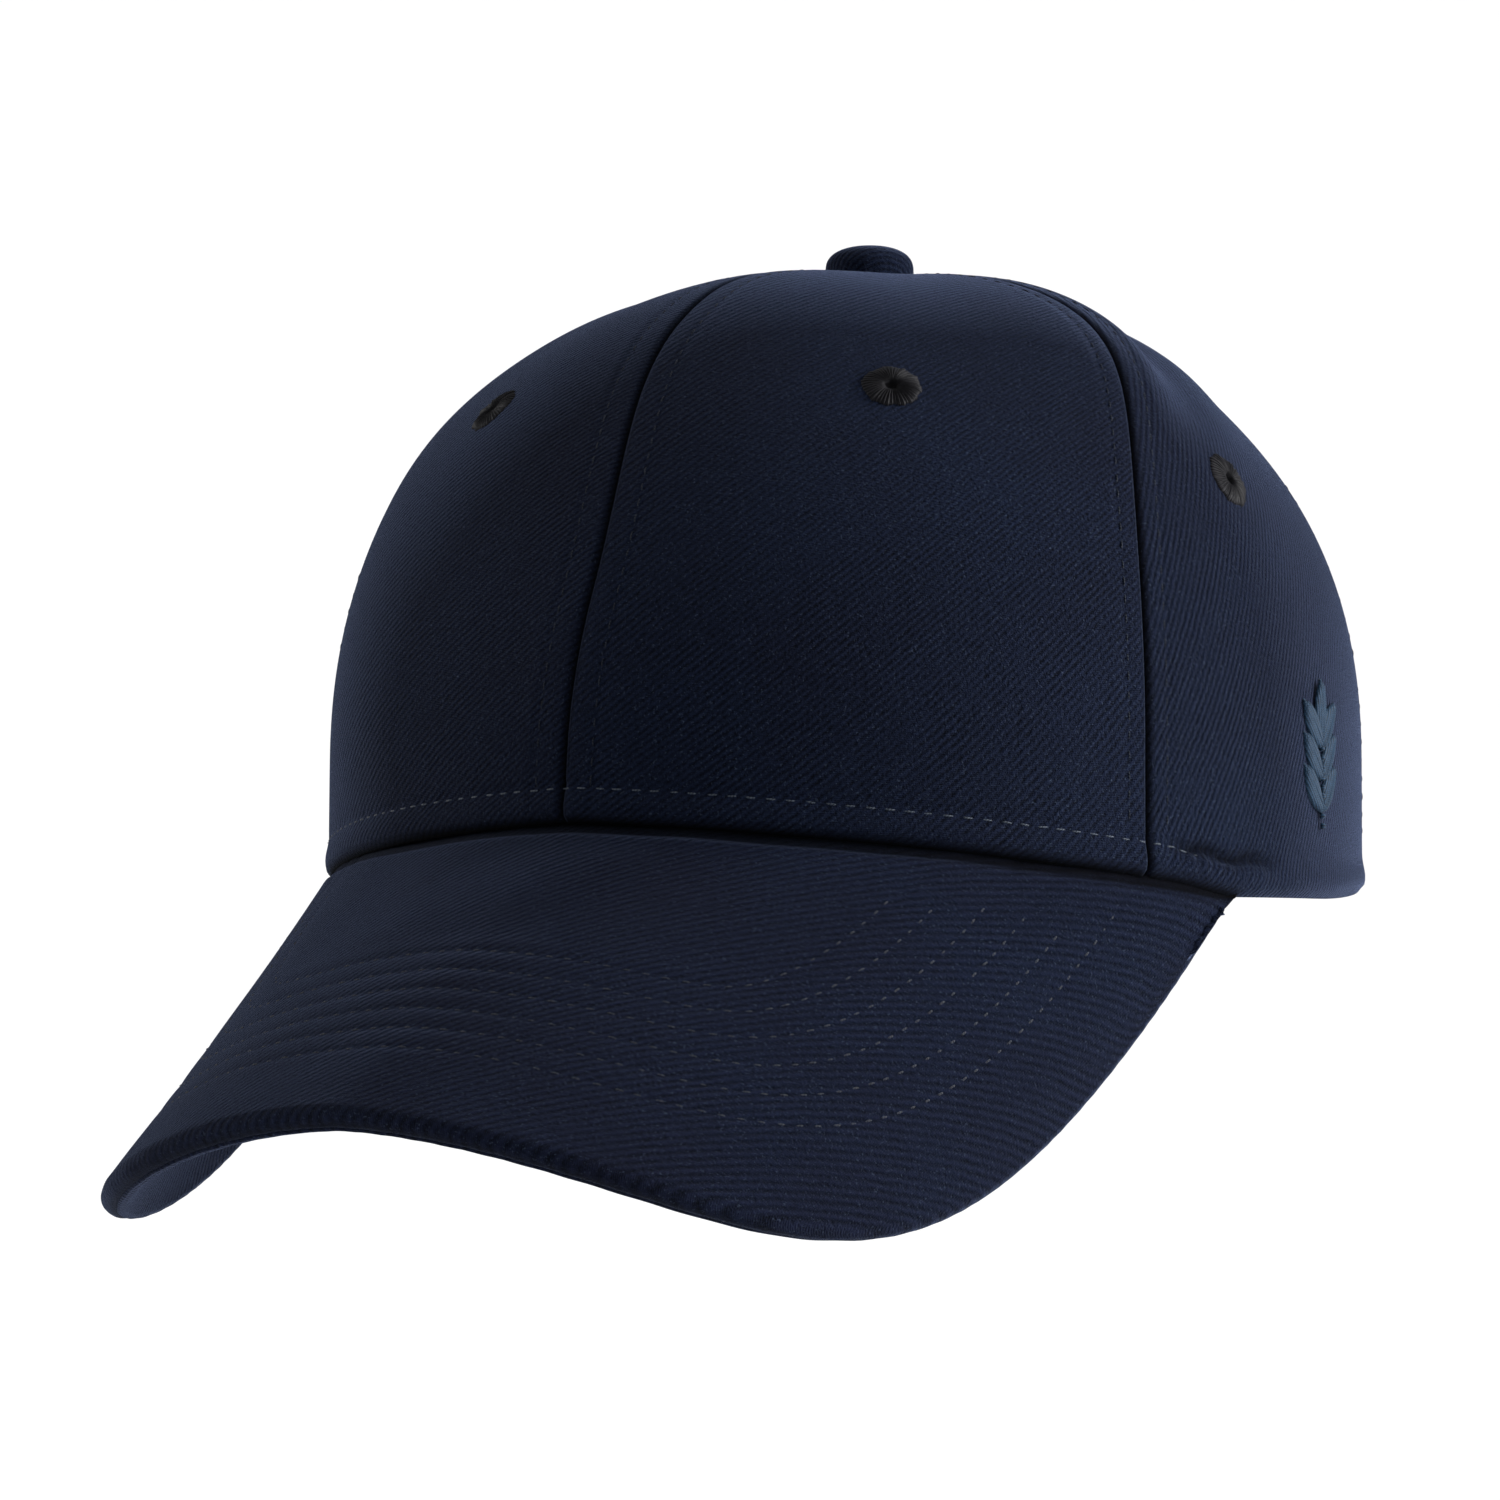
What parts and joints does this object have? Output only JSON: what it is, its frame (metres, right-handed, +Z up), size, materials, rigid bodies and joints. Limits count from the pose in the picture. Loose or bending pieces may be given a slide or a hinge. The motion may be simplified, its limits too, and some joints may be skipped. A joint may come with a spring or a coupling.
{
  "type": "baseball cap",
  "caption": "Structured six-panel baseball cap with a curved stitched visor and an adjustable strap with a cam-lever buckle at the back.",
  "frame": {"origin": "centre of the head opening, level with the lowest edge of the crown at the sides", "axes": "+Z up through the crown, -Y towards the front and the visor, +X towards the wearer's left"},
  "size_m": [0.1738, 0.2645, 0.165],
  "materials": {
    "twill": "brushed twill, matt",
    "buckram": "stiffened open weave",
    "seam_tape": "plain weave tape, matt",
    "eyelet_thread": "embroidered thread, slight sheen",
    "button_metal": "stamped",
    "board": "matt",
    "thread": "twisted polyester thread, slight sheen",
    "sweatband": "cotton twill, matt",
    "foam": "soft open-cell padding",
    "buckle_metal": "brushed, nickel tone",
    "emblem_thread": "satin stitch thread, slight sheen",
    "label": "woven satin ribbon"
  },
  "bodies": {
    "cap": {"panel_front_left": "twill", "panel_front_right": "twill", "panel_side_left": "twill", "panel_side_right": "twill", "panel_back_left": "twill", "panel_back_right": "twill", "buckram_left": "buckram", "buckram_right": "buckram", "seam_tape_front": "seam_tape", "seam_tape_side_left": "seam_tape", "seam_tape_side_right": "seam_tape", "seam_tape_rear_left": "seam_tape", "seam_tape_rear_right": "seam_tape", "seam_tape_back": "seam_tape", "eyelet_front_left": "eyelet_thread", "eyelet_front_right": "eyelet_thread", "eyelet_side_left": "eyelet_thread", "eyelet_side_right": "eyelet_thread", "eyelet_back_left": "eyelet_thread", "eyelet_back_right": "eyelet_thread", "button_cover": "twill", "button_shell": "button_metal", "button_prong": "button_metal", "visor_board": "board", "visor_top_cover": "twill", "visor_under_cover": "twill", "visor_stitching": "thread", "visor_seam_stitching": "thread", "crown_topstitching": "thread", "sweatband": "sweatband", "sweatband_pad": "foam", "arch_binding": "seam_tape", "adjuster_strap": "twill", "buckle_tab": "twill", "buckle_frame": "buckle_metal", "buckle_pin": "buckle_metal", "emblem": "emblem_thread", "size_label": "label", "care_label": "label"},
    "lever": {"buckle_lever": "buckle_metal"}
  },
  "joints": [
    {"name": "buckle_lever_hinge", "type": "hinge", "parent": "cap", "child": "lever", "pos_m": [-0.02486, 0.09935, 0.0125], "axis": [0, 0, 1], "range_deg": [0, 100]}
  ]
}
